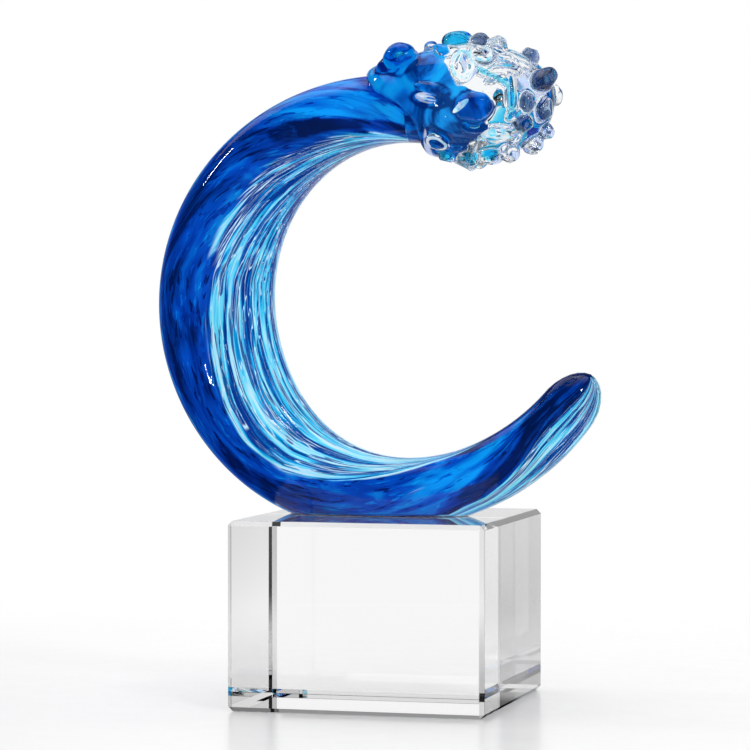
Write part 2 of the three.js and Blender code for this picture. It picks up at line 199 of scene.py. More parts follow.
# Folds that lie flat in the foam between the drops, given the same way
FOAM_FOLDS = [
    ("fold", 0.53, 44, 7, 1.5, 2.6, 14),
    ("fold", 0.57, 28, 6.5, 1.5, 2.6, -8),
    ("fold", 0.47, 61, 6, 1.4, 2.2, 36),
    ("fold", 0.36, 26, 5, 1.8, 2.4, -20),
    ("fold", 0.46, 136, 6, 1.3, 3.2, -2),
    ("fold", 0.6, 121, 5, 1.3, 3, -16),
    ("fold", 0.7, 103, 3, 1.6, 2.4, 50),
    ("fold", 0.68, 140, 3.6, 1.8, 3.2, 20),
    ("fold", 0.1, 146, 4, 1.6, 2.6, 10),
]
UNEVEN = {"blue": 0.1, "clear": 0.22, "smoky": 0.22, "hearted": 0.22, "fold": 0.15}
COLOUR_INSET = {"blue": 1.4, "hearted": 1.9, "smoky": 1.2}
DROP_LIFT = 0.2
DROP_WOBBLE = 1.3
BACK_SHIFT = 0.07

# How finely each part of the foam is melted together
FOAM_VOXEL = 0.6
BLUE_CUP_VOXEL = 0.8
PAINTED_SHADE_GREY_VOXEL = 0.5
THREAD_VOXEL = 0.25

# Threads laid in rings: place, radius, thickness, stretch, spin and lift
TWISTED_LOOPS = [
    (0.1, 57, 4.4, 1.8, 1.6, 12, 1.8),
    (0.24, 41, 3.8, 1.7, 1.1, 60, 1.8),
    (-0.1, 141, 3, 1.5, 1.3, 70, 2),
]

# Painted highlights: white threads inside the foam that stand in for white glints in the loops, the slot, a
# fold and a drop, given the same way
PAINTED_HIGHLIGHT_THREADS = [
    (0.1, 57, 4.4, 0.6, 1.6, 12, 1.8),
    (0.24, 41, 3.8, 0.5, 1.1, 60, 1.8),
    (-0.1, 141, 3, 0.5, 1.3, 70, 2),
    (-0.24, 97, 0.9, 0.45, 6, 90, -0.9),
    (-0.24, 97, 2.4, 0.45, 2.9, 90, -0.9),
    (0.5, 128, 2.6, 0.5, 2, 80, 1.2),
    (0.5, 128, 1, 0.4, 4, 80, 1.6),
    (0.16, 97, 0.7, 0.65, 3.4, -45, 3.7),
]

# Blue ribbon through the clear foam: places along and around the crest
BLUE_RIBBON = [(0.25, 57), (0.45, 61), (0.59, 67), (0.66, 78), (0.67, 92), (0.64, 110)]
RIBBON_THICKNESS = 1.7
RIBBON_COLOUR_THICKNESS = 1.2
RIBBON_LIFT = 0.6

# Blue of the crest: how far along it reaches, by the turn from the top, 0, round the front, 90, and the back,
# 270
BLUE_REACH = [
    (0, -0.15), (35, -0.12), (58, -0.05), (72, 0.14), (82, 0.38), (90, 0.52), (105, 0.55), (118, 0.45),
    (130, 0.45), (150, 0.25), (180, 0.05), (225, -0.2), (270, -0.45), (315, -0.35), (360, -0.15),
]
REACH_WOBBLE = 0.06
SKIN_DEPTH = 2.2
SKIN_BACK = 6
CUP_FLOOR = -0.93
# Levels in the crest, in millimetres, from which and to which its blue is painted darker towards the bottom:
# painted shade
SHADE_LEVELS = (5, -6)

# Painted shade: rings where that blue is darker, round the larger blue drops, the slot over them and the
# looped drop below, each with its place, half length, half width and spin
PAINTED_SHADE_RINGS = [
    (along, around, length, width, spin) for _, along, around, length, width, _, spin in FRONT_DROPS[:5]
]
PAINTED_SHADE_RINGS += [(-0.24, 98, 9, 3.6, 0), (-0.1, 140, 5.6, 4.4, 20)]

# Bubbles in the crest: place, depth, and half length, height and width
CREST_BUBBLES = [
    (0.3, 118, 0.6, (2.2, 0.8, 1.0)),
    (-0.6, 36, 2.0, (1.8, 1.2, 1.4)),
]
LIP_AIR_BACK = 1.3
LIP_AIR_LIFT = 0.9
LIP_AIR_THICKNESS = 0.45

# Crystal block and adhesive film
BLOCK_CHAMFER = 2
BLOCK_EDGE = 0.12
BOND_LEVELS = (FOOT_LEVEL - 0.28, FOOT_LEVEL - 0.02)

# Colours of the glass
NAVY = (0.001, 0.025, 0.17, 1)
DEEP_BLUE = (0.002, 0.09, 0.62, 1)
ROYAL_BLUE = (0.003, 0.18, 0.95, 1)
AZURE = (0.006, 0.45, 1, 1)
CREST_NAVY = (0.001, 0.032, 0.22, 1)
CREST_DEEP = (0.002, 0.15, 0.6, 1)
CREST_BRIGHT = (0.004, 0.28, 0.85, 1)
CYAN = (0.25, 0.82, 1, 1)
GAP_BLUE = (0.001, 0.045, 0.26, 1)
DEEP_STREAK = (0.002, 0.11, 0.42, 1)
BLUE_STREAK = (0.004, 0.3, 0.66, 1)
CYAN_STREAK = (0.02, 0.58, 0.85, 1)
PALE_STREAK = (0.2, 0.82, 0.95, 1)
STRAND = (0.72, 0.96, 1, 1)
PAINTED_SHADE_GREY = (0.3, 0.42, 0.6, 1)
PASSED_BLUE = (0, 0.82, 0.957, 1)
WHITE = (1, 1, 1, 1)
UNLIT = (0, 0, 0, 1)
CASING_TINT = (0.97, 0.99, 1, 1)
BOND_TINT = (0.97, 0.98, 0.99, 1)
TABLE_WHITE = (0.9, 0.9, 0.9, 1)
CRYSTAL_IOR = 1.62
GLASS_IOR = 1.5

# Camera, and the directions away from it, across its view and up
CAMERA_PLACE = Vector((382.626, -1421.624, 183.106))
CAMERA_TURN = radians(15.2964)
CAMERA_DIP = radians(1.4986)
CAMERA_SENSOR = 36
CAMERA_LENS = 159.275
AWAY = (-sin(CAMERA_TURN), cos(CAMERA_TURN), 0)
ACROSS = (cos(CAMERA_TURN), sin(CAMERA_TURN), 0)
UP = (0, 0, 1)

# Studio: the table's half size and its place just under the block, and how far out, in metres, it turns to
# paper
TABLE_HALF = 4000
TABLE_DROP = 0.15
PAPER_FROM = 0.16
PAPER_FULL = 0.5

# Lamps: name, place, aim and size in metres, and power in watts
LAMPS = [
    ("softbox", (-0.6, 0.5, 1.25), (0, 0, 0.2), (0.8, 1.1), 1.7),
    ("high_strip", (-1.16, -0.02, 0.94), (-0.07, 0, 0.24), (0.05, 0.26), 1.2),
    ("low_strip", (-0.43, -0.73, 0.032), (-0.08, -0.02, 0.144), (0.012, 0.05), 0.12),
    ("right_strip", (1.2, -0.15, 0.35), (0, 0, 0.2), (0.05, 1.1), 0.25),
    ("crest_window", (0.9, -0.9, 1.1), (0.03, 0, 0.26), (0.22, 0.22), 2.5),
]
LIGHT_BOUNCES = 28


# Curves


def between(value, stops):
    """The value of a broken line through (place, height) stops."""
    if value <= stops[0][0]:
        return stops[0][1]
    for (left, low), (right, high) in zip(stops, stops[1:]):
        if value <= right:
            return low + (high - low) * (value - left) / (right - left)
    return stops[-1][1]


def eased(value, start, end):
    """A smooth step from 0 at the start to 1 at the end."""
    share = min(1, max(0, (value - start) / (end - start)))
    return share * share * (3 - 2 * share)


def bump(value, middle, spread):
    """1 in the middle, and less and less on both sides of it."""
    return exp(-(((value - middle) / spread) ** 2))


# Shader trees


class Wire:
    """A shader socket that takes part in sums. Each sum adds its Math node to the tree."""

    def __init__(self, finish, socket):
        self.finish = finish
        self.socket = socket

    def beside(self, output):
        """Another output of the same node."""
        return Wire(self.finish, self.socket.node.outputs[output])

    def __add__(self, other):
        return self.finish.maths("ADD", self, other)

    __radd__ = __add__

    def __sub__(self, other):
        return self.finish.maths("SUBTRACT", self, other)

    def __rsub__(self, other):
        return self.finish.maths("SUBTRACT", other, self)

    def __mul__(self, other):
        return self.finish.maths("MULTIPLY", self, other)

    __rmul__ = __mul__


class Finish:
    """The node tree of a material or of the world."""

    def __init__(self, owner):
        owner.use_nodes = True
        self.owner = owner
        self.tree = owner.node_tree
        self.tree.nodes.clear()

    def node(self, kind, settings=None, sockets=None, output=0):
        """One node: its settings, then the values or links of its sockets. Gives one of its outputs."""
        made = self.tree.nodes.new(kind)
        for name, value in (settings or {}).items():
            if name == "stops":
                self.set_stops(made.color_ramp, value)
            else:
                setattr(made, name, value)
        for name, value in (sockets or {}).items():
            if isinstance(value, Wire):
                self.tree.links.new(value.socket, made.inputs[name])
            else:
                made.inputs[name].default_value = value
        return Wire(self, made.outputs[output]) if made.outputs else None

    @staticmethod
    def set_stops(ramp, stops):
        while len(ramp.elements) < len(stops):
            ramp.elements.new(0.5)
        for element, (place, colour) in zip(ramp.elements, stops):
            element.position = place
            element.color = colour

    def maths(self, operation, *terms):
        return self.node("ShaderNodeMath", {"operation": operation}, dict(enumerate(terms)))

    def smooth_step(self, value, start, end):
        settings = {"interpolation_type": "SMOOTHSTEP"}
        return self.node("ShaderNodeMapRange", settings, {"Value": value, "From Min": start, "From Max": end})

    def ridge(self, value, half_width):
        """A thin line wherever a value passes its middle."""
        return 1 - self.smooth_step(self.maths("ABSOLUTE", value - 0.5), 0, half_width)

    def place(self):
        return self.node("ShaderNodeTexCoord", output="Object")

    def cloud(self, scale, distortion=0):
        """Noise through the whole piece."""
        sockets = {"Vector": self.place(), "Scale": scale, "Detail": 3, "Distortion": distortion}
        return self.node("ShaderNodeTexNoise", {}, sockets)

    def drawn_noise(self, vector, stretch, detail, distortion):
        """Noise that is drawn out by a different amount along each axis."""
        drawn_out = self.node("ShaderNodeVectorMath", {"operation": "MULTIPLY"}, {0: vector, 1: stretch})
        sockets = {"Vector": drawn_out, "Scale": 1, "Detail": detail, "Distortion": distortion}
        return self.node("ShaderNodeTexNoise", {}, sockets)

    def colours(self, value, stops):
        """A run of colours along a value."""
        return self.node("ShaderNodeValToRGB", {"stops": stops}, {"Fac": value})

    def tinted(self, share, under, over):
        """One colour over another by a share."""
        return self.node("ShaderNodeMix", {"data_type": "RGBA"}, {0: share, 6: under, 7: over}, 2)

    def tone(self):
        """The three values that a mesh keeps at each vertex for its glass, painted light and shade among
        them.
        """
        kept = self.node("ShaderNodeAttribute", {"attribute_name": "tone"}, output="Vector")
        first = self.node("ShaderNodeSeparateXYZ", {}, {"Vector": kept})
        return first, first.beside("Y"), first.beside("Z")

    def shown(self, surface, volume=None):
        """The finished material."""
        links = {"Surface": surface}
        if volume:
            links["Volume"] = volume
        self.node("ShaderNodeOutputMaterial", {}, links)
        return self.owner


# Mesh helpers


def finish_piece(name, bm, material, nodes, smooth=True):
    """Bake a mesh made in millimetres into a piece that stands for its solids."""
    bmesh.ops.scale(bm, vec=(MM, MM, MM), verts=bm.verts)
    piece = mesh_object(name, bm)
    if smooth:
        piece.data.shade_smooth()
    piece.data.materials.append(material)
    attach(piece, "root")
    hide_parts(*nodes)


def mesh_object(name, bm):
    """A bmesh as an object of the scene. The bmesh goes."""
    mesh = bpy.data.meshes.new(name)
    bm.to_mesh(mesh)
    bm.free()
    made = bpy.data.objects.new(name, mesh)
    bpy.context.collection.objects.link(made)
    return made


def drop_helper(helper):
    mesh = helper.data
    bpy.data.objects.remove(helper)
    bpy.data.meshes.remove(mesh)


def settled_mesh(helper):
    """The bmesh that a helper's modifiers give. The helper goes."""
    bm = bmesh.new()
    bm.from_object(helper, bpy.context.evaluated_depsgraph_get())
    drop_helper(helper)
    return bm


def add_mesh(bm, other):
    """Put one bmesh into another."""
    spare = bpy.data.meshes.new("spare")
    other.to_mesh(spare)
    other.free()
    bm.from_mesh(spare)
    bpy.data.meshes.remove(spare)


def melted(bm, voxel, rounds):
    """Join overlapping shapes into one skin and let it flow smooth."""
    helper = mesh_object("melt", bm)
    remesh = helper.modifiers.new("join", "REMESH")
    remesh.mode = "VOXEL"
    remesh.voxel_size = voxel
    joined = settled_mesh(helper)
    for _ in range(rounds):
        bmesh.ops.smooth_vert(
            joined, verts=joined.verts, factor=0.5, use_axis_x=True, use_axis_y=True, use_axis_z=True
        )
    return joined


def fused(first, second):
    """Two closed meshes as one."""
    target = mesh_object("fused", first)
    tool = mesh_object("fused_tool", second)
    join = target.modifiers.new("join", "BOOLEAN")
    join.operation = "UNION"
    join.solver = "MANIFOLD"
    join.object = tool
    bm = settled_mesh(target)
    drop_helper(tool)
    return bm


def close_holes(bm):
    bmesh.ops.holes_fill(bm, edges=[edge for edge in bm.edges if edge.is_boundary], sides=0)
    bmesh.ops.recalc_face_normals(bm, faces=bm.faces)


def grind_flat(bm, level, side):
    """Grind a closed mesh off flat at a level: what is above it, side 1, or below it, side -1, goes."""
    bmesh.ops.bisect_plane(
        bm,
        geom=bm.verts[:] + bm.edges[:] + bm.faces[:],
        plane_co=(0, 0, level),
        plane_no=(0, 0, side),
        clear_outer=True,
    )
    close_holes(bm)


# The wave's rod


def swell_at(angle):
    turn = min(1, abs(angle - THICKEST_ANGLE) / SWELL_REACH)
    return cos(turn * pi / 2) ** SWELL_FALL


def tail_at(angle):
    return max(0, angle - TAIL_ANGLE) / (TAIL_TIP_ANGLE - TAIL_ANGLE)


def half_size(angle, size):
    """Half the rod's width or depth at an angle."""
    swell = (size["middle"] - size["ends"]) * swell_at(angle)
    taper = (size["tail"] - size["ends"]) * tail_at(angle) ** 2
    return (size["ends"] + (swell + taper)) / 2


def spine_point(angle):
    sag = SPINE_SAG * bump(angle, SAG_ANGLE, SAG_SPREAD)
    radius = SPINE_RADIUS + sag + TAIL_FLARE * tail_at(angle) ** 2
    return EYE + Vector((radius * cos(radians(angle)), 0, radius * sin(radians(angle))))


def rod_point(angle, across, front):
    """A point beside the rod's middle: across runs towards the eye, front towards the viewer."""
    along = (spine_point(angle + 0.5) - spine_point(angle - 0.5)).normalized()
    inward = Vector((-along.z, 0, along.x))
    return spine_point(angle) + inward * across + Vector((0, -front, 0))


def skin_point(angle, turn, lift, full=1):
    """A point over the rod's skin by a lift, or under it by a negative one."""
    across = (half_size(angle, ROD_WIDTH) * full + lift) * cos(radians(turn))
    front = (half_size(angle, ROD_DEPTH) * full + lift) * sin(radians(turn))
    return rod_point(angle, across, front)


def swept(sides, steps, start, tip, place, tone_at=None):
    """A circle spun round the eye, with each vertex then set by place(angle, turn, full). full falls to 0
    over the rounded tip. With tone_at, each vertex keeps its place in the flow of the glass and its tone,
    which holds painted light and shade."""
    bm = bmesh.new()
    if tone_at:
        drawn = bm.verts.layers.float_vector.new("drawn")
        tone = bm.verts.layers.float_vector.new("tone")
    facing = Matrix.Rotation(-radians(start), 4, "Y") @ Matrix.Translation((SPIN_RADIUS, 0, 0))
    bmesh.ops.create_circle(bm, segments=sides, radius=1, matrix=facing)
    bmesh.ops.spin(
        bm,
        geom=bm.verts[:] + bm.edges[:],
        cent=(0, 0, 0),
        axis=(0, -1, 0),
        angle=radians(tip - start),
        steps=steps,
    )
    round_from = tip - TAIL_ROUND_ANGLE
    for vert in bm.verts:
        angle = degrees(atan2(vert.co.z, vert.co.x)) % 360
        turn = degrees(atan2(-vert.co.y, SPIN_RADIUS - hypot(vert.co.x, vert.co.z)))
        quarter = max(0, angle - round_from) / TAIL_ROUND_ANGLE * pi / 2
        full = max(0, cos(quarter))
        if quarter > 0:
            angle = round_from + TAIL_ROUND_ANGLE * sin(quarter)
        vert.co = place(angle, turn, full)
        if tone_at:
            flow = radians(flow_turn(angle, turn))
            vert[drawn] = cos(flow), sin(flow), radians(angle)
            vert[tone] = tone_at(angle, turn)
    bmesh.ops.remove_doubles(bm, verts=bm.verts, dist=0.002)
    close_holes(bm)
    return bm


def flute_bands(angle, turn):
    """Each band of flutes at a place: its strength there, its width, and how far across it the place is."""
    away = abs(turn)
    side = 1 if turn > 0 else -1
    from_eye = between(angle, FLUTES_FROM_EYE), away, eased(angle, *EYE_FLUTES_FADE)
    from_below = between(angle, FLUTES_FROM_BELOW), 180 - away, eased(angle, *BELOW_FLUTES_FADE)
    for reach, across, fade in (from_eye, from_below):
        share = across / reach
        yield fade * eased(share, *BAND_EDGE_FADE), reach, share * side


def flow_turn(angle, turn):
    """A turn round the rod, bent so that the edges of both bands of flutes keep to the same turns all along.
    Towards the neck the streaks run in from the edge of their band."""
    eye_edge = between(angle, FLUTES_FROM_EYE)
    far_edge = 180 - between(angle, FLUTES_FROM_BELOW)
    flow = between(abs(turn), [(0, 0), (eye_edge, FLOW_BANDS[0]), (far_edge, FLOW_BANDS[1]), (180, 180)])
    return flow + FLOW_SLANT * max(0, FLOW_SLANT_FROM - angle)


def flute_cut(angle, turn):
    """How deep the flutes cut at a place on the rod: rounded canes with sharp grooves between them."""
    cut = 0
    for strength, reach, share in flute_bands(angle, turn):
        if strength > 0:
            drift = noise.noise(Vector((share * 2, angle / 45, 3.1)))
            drift += 0.4 * noise.noise(Vector((share * 6, angle / 22, 7.9)))
            cane = abs(sin(pi * (share * FLUTES_IN_BAND + drift)))
            uneven = 0.65 + 0.7 * noise.noise(Vector((share * 5, angle / 35, 1.3)))
            cut += FLUTE_DEPTH * strength * reach / DEEP_FLUTE_REACH * uneven * (1 - cane)
    return cut


def casing_place(angle, turn, full):
    return skin_point(angle, turn, -flute_cut(angle, turn) * full - CASING_INSET, full)


def wave_casing():
    bm = swept(230, 150, CREST_END_ANGLE, CASING_TIP_ANGLE, casing_place)
    grind_flat(bm, FOOT_LEVEL, -1)
    return bm


def core_place(angle, turn, full):
    inside = between(angle, CLEAR_INSIDE)
    wide = half_size(angle, ROD_WIDTH) - (inside + CLEAR_OUTSIDE) / 2
    deep = half_size(angle, ROD_DEPTH) - CLEAR_OUTSIDE
    thin = 0
    streak = 0
    for strength, _, share in flute_bands(angle, turn):
        layer = strength * between(angle, THIN_LAYER)
        thin = max(thin, layer)
        streak += layer * STREAK_RELIEF * noise.noise(Vector((share * 12, angle / 60, 4.4)))
    across = wide * cos(radians(turn)) * full + (CLEAR_OUTSIDE - inside) / 2
    front = (deep * (1 - thin) + streak) * sin(radians(turn)) * full
    return rod_point(angle, across, front)


def core_tone(angle, turn):
    """How streaked the blue is at a place, its painted light and shade, and how pale the streaks are."""
    streaked = max(strength for strength, _, _ in flute_bands(angle, turn))
    away = abs(turn)
    neck = eased(angle, *NECK_STRETCH)
    foot = eased(angle, *FOOT_STRETCH)
    tail = eased(angle, *TAIL_STRETCH)
    body = (1 - neck) * (1 - foot)

    # Neck: painted shade under its edge, painted light above it, with a painted light line beside the flutes
    neck_edge = between(angle, NECK_EDGE)
    neck_line = between(angle, FLUTES_FROM_EYE) + NECK_LINE
    neck_light = 2.1 * eased(away, neck_edge, neck_edge + 7) + 0.8 * eased(away, neck_line, neck_line - 8)
    bright = neck * (neck_light - 0.9) - 0.1 * (1 - neck)

    # Foot and tail: painted light in a band that narrows towards the tip, and painted shade beside it
    lit_from = between(angle, LIT_FROM)
    lit_to = between(angle, LIT_TO)
    lit = foot * eased(away, lit_from, lit_from + 40) * eased(away, lit_to, lit_to - 16)
    bright += between(angle, LIT_BY) * lit - 0.9 * tail * (1 - lit)

    # Body: a painted bright rim along the outside, with a painted navy band of shade beside it
    from_edge = 180 + EDGE_WINDING * cos(radians(angle)) - away
    bright += body * (eased(from_edge, 20, 10) - 0.75 * bump(from_edge, 34, 14))

    # Painted shadow under the hood's lip
    lip = between(away, HOOD_EDGE)
    bright -= 1.3 * eased(angle, lip + 3.5, lip)

    # Streaks: a painted dark edge line along the eye's side, and paler along the outside of the tail
    pale = between(angle, STREAK_PALE) - 0.2 * bump(turn, 0, 5) * (1 - tail)
    pale += 0.1 * tail * eased(away, 150, 170)
    return streaked, bright, pale


def wave_core():
    bm = swept(220, 160, CORE_START_ANGLE, CORE_TIP_ANGLE, core_place, core_tone)
    grind_flat(bm, CORE_FOOT_LEVEL, -1)
    return bm


# The crest and its foam


def mirrored(tone, along, around, length, width, height, spin):
    """The same drop on the back of the crest, a little nearer the neck."""
    return tone, along - BACK_SHIFT, 360 - around, length, width, height, -spin


ALL_DROPS = FRONT_DROPS + RIDGE_DROPS + [mirrored(*drop) for drop in FRONT_DROPS]
ALL_FOLDS = [side for fold in FOAM_FOLDS for side in (fold, mirrored(*fold))]


def crest_direction(along, around):
    girth = sqrt(1 - along**2)
    return Vector((along, -girth * sin(radians(around)), girth * cos(radians(around))))


def crest_point(direction, grow=0):
    """A point of the crest's lobed surface, in the crest's own frame."""
    swell = 1
    for along, around, rise, spread in CREST_LOBES:
        swell += rise * bump(direction.angle(crest_direction(along, around)), 0, radians(spread))
    hood = min(1, max(0, -direction.x))
    length = HOOD_LENGTH if hood else CREST_HALF.x
    girth = swell
    if hood:
        girth *= (1 - hood**HOOD_TAPER) ** HOOD_ROUND / max(1e-6, sqrt(1 - hood**2))
        girth *= 1 - HOOD_HOLLOW * eased(hood, 0, 0.5) * eased(direction.z, 0.5, -0.5)
    return Vector(
        (
            direction.x * (length * swell + grow),
            direction.y * (CREST_HALF.y * girth + grow),
            direction.z * (CREST_HALF.z * girth + grow) + HOOD_LIFT * hood**HOOD_TAPER,
        )
    )


def seat_frame(along, around, spin, lift):
    """A frame that sits on the crest: x along it, turned by spin, and y out of it."""
    direction = crest_direction(along, around)
    out = Vector([part / half for part, half in zip(direction, CREST_HALF)]).normalized()
    forward = (Vector((1, 0, 0)) - out * out.x).normalized()
    forward.rotate(Matrix.Rotation(radians(spin), 3, out))
    seat = crest_point(direction) + out * lift
    basis = Matrix((forward, out, forward.cross(out))).transposed().to_4x4()
    return CREST_FRAME @ Matrix.Translation(seat) @ basis


def add_crest_body(bm):
    made = bmesh.ops.create_icosphere(bm, subdivisions=6, radius=1)
    for vert in made["verts"]:
        vert.co = CREST_FRAME @ crest_point(vert.co.normalized())


def add_drop(bm, along, around, length, width, height, spin, grow=0, uneven=0.0):
    """A drop of glass laid on the crest."""
    size = Matrix.Diagonal((length + grow, height + grow, width + grow, 1))
    seat = seat_frame(along, around, spin, DROP_LIFT * height)
    made = bmesh.ops.create_icosphere(bm, subdivisions=4, radius=1)
    for vert in made["verts"]:
        wobble = 1 + uneven * noise.noise(vert.co * DROP_WOBBLE + Vector((along * 40, around, 0)))
        vert.co = seat @ size @ (vert.co * wobble)


def add_drop_colour(bm, wanted):
    """The coloured glass inside the drops of one tone."""
    for tone, *drop in ALL_DROPS:
        if tone == wanted:
            add_drop(bm, *drop, grow=-COLOUR_INSET[tone], uneven=UNEVEN[tone])


def add_hood(bm, grow=0, start=HOOD_START_ANGLE):
    """The lip of the crest's glass that laps over the neck."""

    def hood_place(angle, turn, full):
        edge = between(abs(turn), HOOD_EDGE)
        lip = HOOD_THICKNESS * sqrt(max(0, min(1, (edge - angle) / HOOD_LIP_ROUND))) + grow
        if angle >= edge + grow:
            lip = HOOD_SUNK
        return skin_point(angle, turn, lip)

    add_mesh(bm, swept(160, 140, start, HOOD_END_ANGLE, hood_place))


def add_loop(bm, along, around, radius, thick, stretch, spin, lift):
    """A thread of glass laid in a ring."""
    ring = bmesh.new()
    upright = Matrix.Translation((radius, 0, 0)) @ Matrix.Rotation(pi / 2, 4, "X")
    bmesh.ops.create_circle(ring, segments=20, radius=thick, matrix=upright)
    bmesh.ops.spin(
        ring,
        geom=ring.verts[:] + ring.edges[:],
        cent=(0, 0, 0),
        axis=(0, 0, 1),
        angle=2 * pi,
        steps=40,
        use_merge=True,
    )
    flat = Matrix.Rotation(-pi / 2, 4, "X") @ Matrix.Diagonal((1, stretch, 1, 1))
    bmesh.ops.transform(ring, matrix=seat_frame(along, around, spin, lift) @ flat, verts=ring.verts)
    bmesh.ops.recalc_face_normals(ring, faces=ring.faces)
    add_mesh(bm, ring)


def add_trail(bm, places, thick, lift):
    """A thread of glass trailed over the crest, as a run of touching beads."""
    points = [seat_frame(along, around, 0, lift).translation for along, around in places]
    for first, second in zip(points, points[1:]):
        steps = max(2, round((second - first).length / (thick * 0.4)))
        for step in range(steps):
            middle = first.lerp(second, step / steps)
            bmesh.ops.create_icosphere(bm, subdivisions=2, radius=thick, matrix=Matrix.Translation(middle))


def foam_crest():
    """The clear skin of the crest with its drops, folds, loops, ribbon and hood."""
    bm = bmesh.new()
    add_crest_body(bm)
    for tone, *drop in ALL_DROPS + ALL_FOLDS:
        add_drop(bm, *drop, uneven=UNEVEN[tone])
    for loop in TWISTED_LOOPS:
        add_loop(bm, *loop)
    add_trail(bm, BLUE_RIBBON, RIBBON_THICKNESS, RIBBON_LIFT)
    add_hood(bm)
    return melted(bm, FOAM_VOXEL, 3)


def blue_cup():
    """The blue under the crest's clear surface: a cup that is open towards the clear foam."""
    bm = bmesh.new()
    made = bmesh.ops.create_icosphere(bm, subdivisions=6, radius=1)
    for vert in made["verts"]:
        direction = vert.co.normalized()
        turn = degrees(atan2(-direction.y, direction.z)) % 360
        edge = between(turn, BLUE_REACH) + REACH_WOBBLE * noise.noise(Vector((turn / 11, 0, 2.2)))
        past = max(0, (direction.x - edge) / (1 - edge))
        depth = SKIN_DEPTH
        if past > 0:
            direction = crest_direction(edge - (edge - CUP_FLOOR) * past, turn)
            depth += (SKIN_BACK - SKIN_DEPTH) * min(1, past * 8)
        vert.co = CREST_FRAME @ crest_point(direction, -depth)
    add_hood(bm, -HOOD_BLUE_INSET, CREST_END_ANGLE)
    return melted(bm, BLUE_CUP_VOXEL, 3)


def lip_distance(point):
    """How many degrees of the bend lie between a point and the hood's lip."""
    offset = point - EYE
    angle = degrees(atan2(offset.z, offset.x))
    turn = degrees(atan2(abs(offset.y), SPINE_RADIUS - hypot(offset.x, offset.z)))
    return between(turn, HOOD_EDGE) - angle


def crest_skin():
    """The crest's blue with its tones: where it has a painted white lining that makes the clear foam look lit
    from behind, and its painted light and shade.
    """
    skin = blue_cup()
    skin.normal_update()
    tone = skin.verts.layers.float_vector.new("tone")
    to_crest = CREST_FRAME.inverted()
    rings = [
        (seat_frame(along, around, spin, 0).inverted(), length, width)
        for along, around, length, width, spin in PAINTED_SHADE_RINGS
    ]
    for vert in skin.verts:
        place = to_crest @ vert.co
        facing = to_crest.to_3x3() @ vert.normal
        outward = facing.dot(Vector((0, place.y, place.z)).normalized())
        # Painted light: a white lining on the cup's inner side, towards the clear foam, that makes the foam
        # look lit from behind
        painted_lining = eased(max(-3 * outward, 2 * facing.x - 0.8), 0, 1)
        # Painted shade: darker towards the bottom of the crest
        shade = eased(place.z, *SHADE_LEVELS)
        # Painted sheen along the hood's lip
        lip = bump(lip_distance(vert.co), 1.2, 1.3)
        bright = 0.2 - 1.1 * shade + 0.9 * lip * (1 - shade)
        # Painted shade in rings round the larger drops, the slot over them and the looped drop below
        for to_ring, length, width in rings:
            offset = to_ring @ vert.co
            bright -= 1.8 * bump(hypot(offset.x / length, offset.z / width), 1.08, 0.15)
        vert[tone] = painted_lining, bright, 0
    return skin


def foam_colour():
    """The blue inside the blue drops, the hearted drops and the ribbon."""
    bm = bmesh.new()
    add_drop_colour(bm, "blue")
    add_drop_colour(bm, "hearted")
    add_trail(bm, BLUE_RIBBON, RIBBON_COLOUR_THICKNESS, RIBBON_LIFT)
    return melted(bm, FOAM_VOXEL, 2)


def painted_shade_drops():
    """The grey glass inside the darker clear drops: painted shade."""
    bm = bmesh.new()
    add_drop_colour(bm, "smoky")
    return melted(bm, PAINTED_SHADE_GREY_VOXEL, 2)


# Painted highlights: the white threads in the foam
def painted_highlight_threads():
    bm = bmesh.new()
    for thread in PAINTED_HIGHLIGHT_THREADS:
        add_loop(bm, *thread)
    return melted(bm, THREAD_VOXEL, 1)


def add_bubble(bm, place, size):
    """A trapped bubble: a closed skin that faces inwards."""
    matrix = place @ Matrix.Diagonal((*size, 1))
    made = bmesh.ops.create_icosphere(bm, subdivisions=3, radius=1, matrix=matrix)
    faces = {face for vert in made["verts"] for face in vert.link_faces}
    bmesh.ops.reverse_faces(bm, faces=list(faces))


def add_air_line(bm, points, thick):
    """Air trapped along a closed line of points: a thin tube that faces inwards."""
    tube = bmesh.new()
    rings = []
    for before, point, after in zip(points[-1:] + points[:-1], points, points[1:] + points[:1]):
        facing = (after - before).to_track_quat("Z", "Y").to_matrix().to_4x4()
        matrix = Matrix.Translation(point) @ facing
        made = bmesh.ops.create_circle(tube, segments=8, radius=thick, matrix=matrix)
        rings.append(list({edge for vert in made["verts"] for edge in vert.link_edges}))
    for ring, following in zip(rings, rings[1:] + rings[:1]):
        bmesh.ops.bridge_loops(tube, edges=ring + following)
    bmesh.ops.recalc_face_normals(tube, faces=tube.faces)
    bmesh.ops.reverse_faces(tube, faces=tube.faces)
    add_mesh(bm, tube)


def add_trapped_air(bm):
    """Bubbles in the crest, and a line of air under the hood's lip."""
    for along, around, depth, size in CREST_BUBBLES:
        add_bubble(bm, seat_frame(along, around, 0, depth), size)
    lip = []
    for turn in range(-180, 180, 4):
        angle = between(abs(turn), HOOD_EDGE) - LIP_AIR_BACK
        lip.append(skin_point(angle, turn, LIP_AIR_LIFT))
    add_air_line(bm, lip, LIP_AIR_THICKNESS)


def wave_and_foam():
    """The clear glass of the wave and of its crest, fused as one."""
    bm = fused(wave_casing(), foam_crest())
    add_trapped_air(bm)
    return bm


# The block and the adhesive under the wave


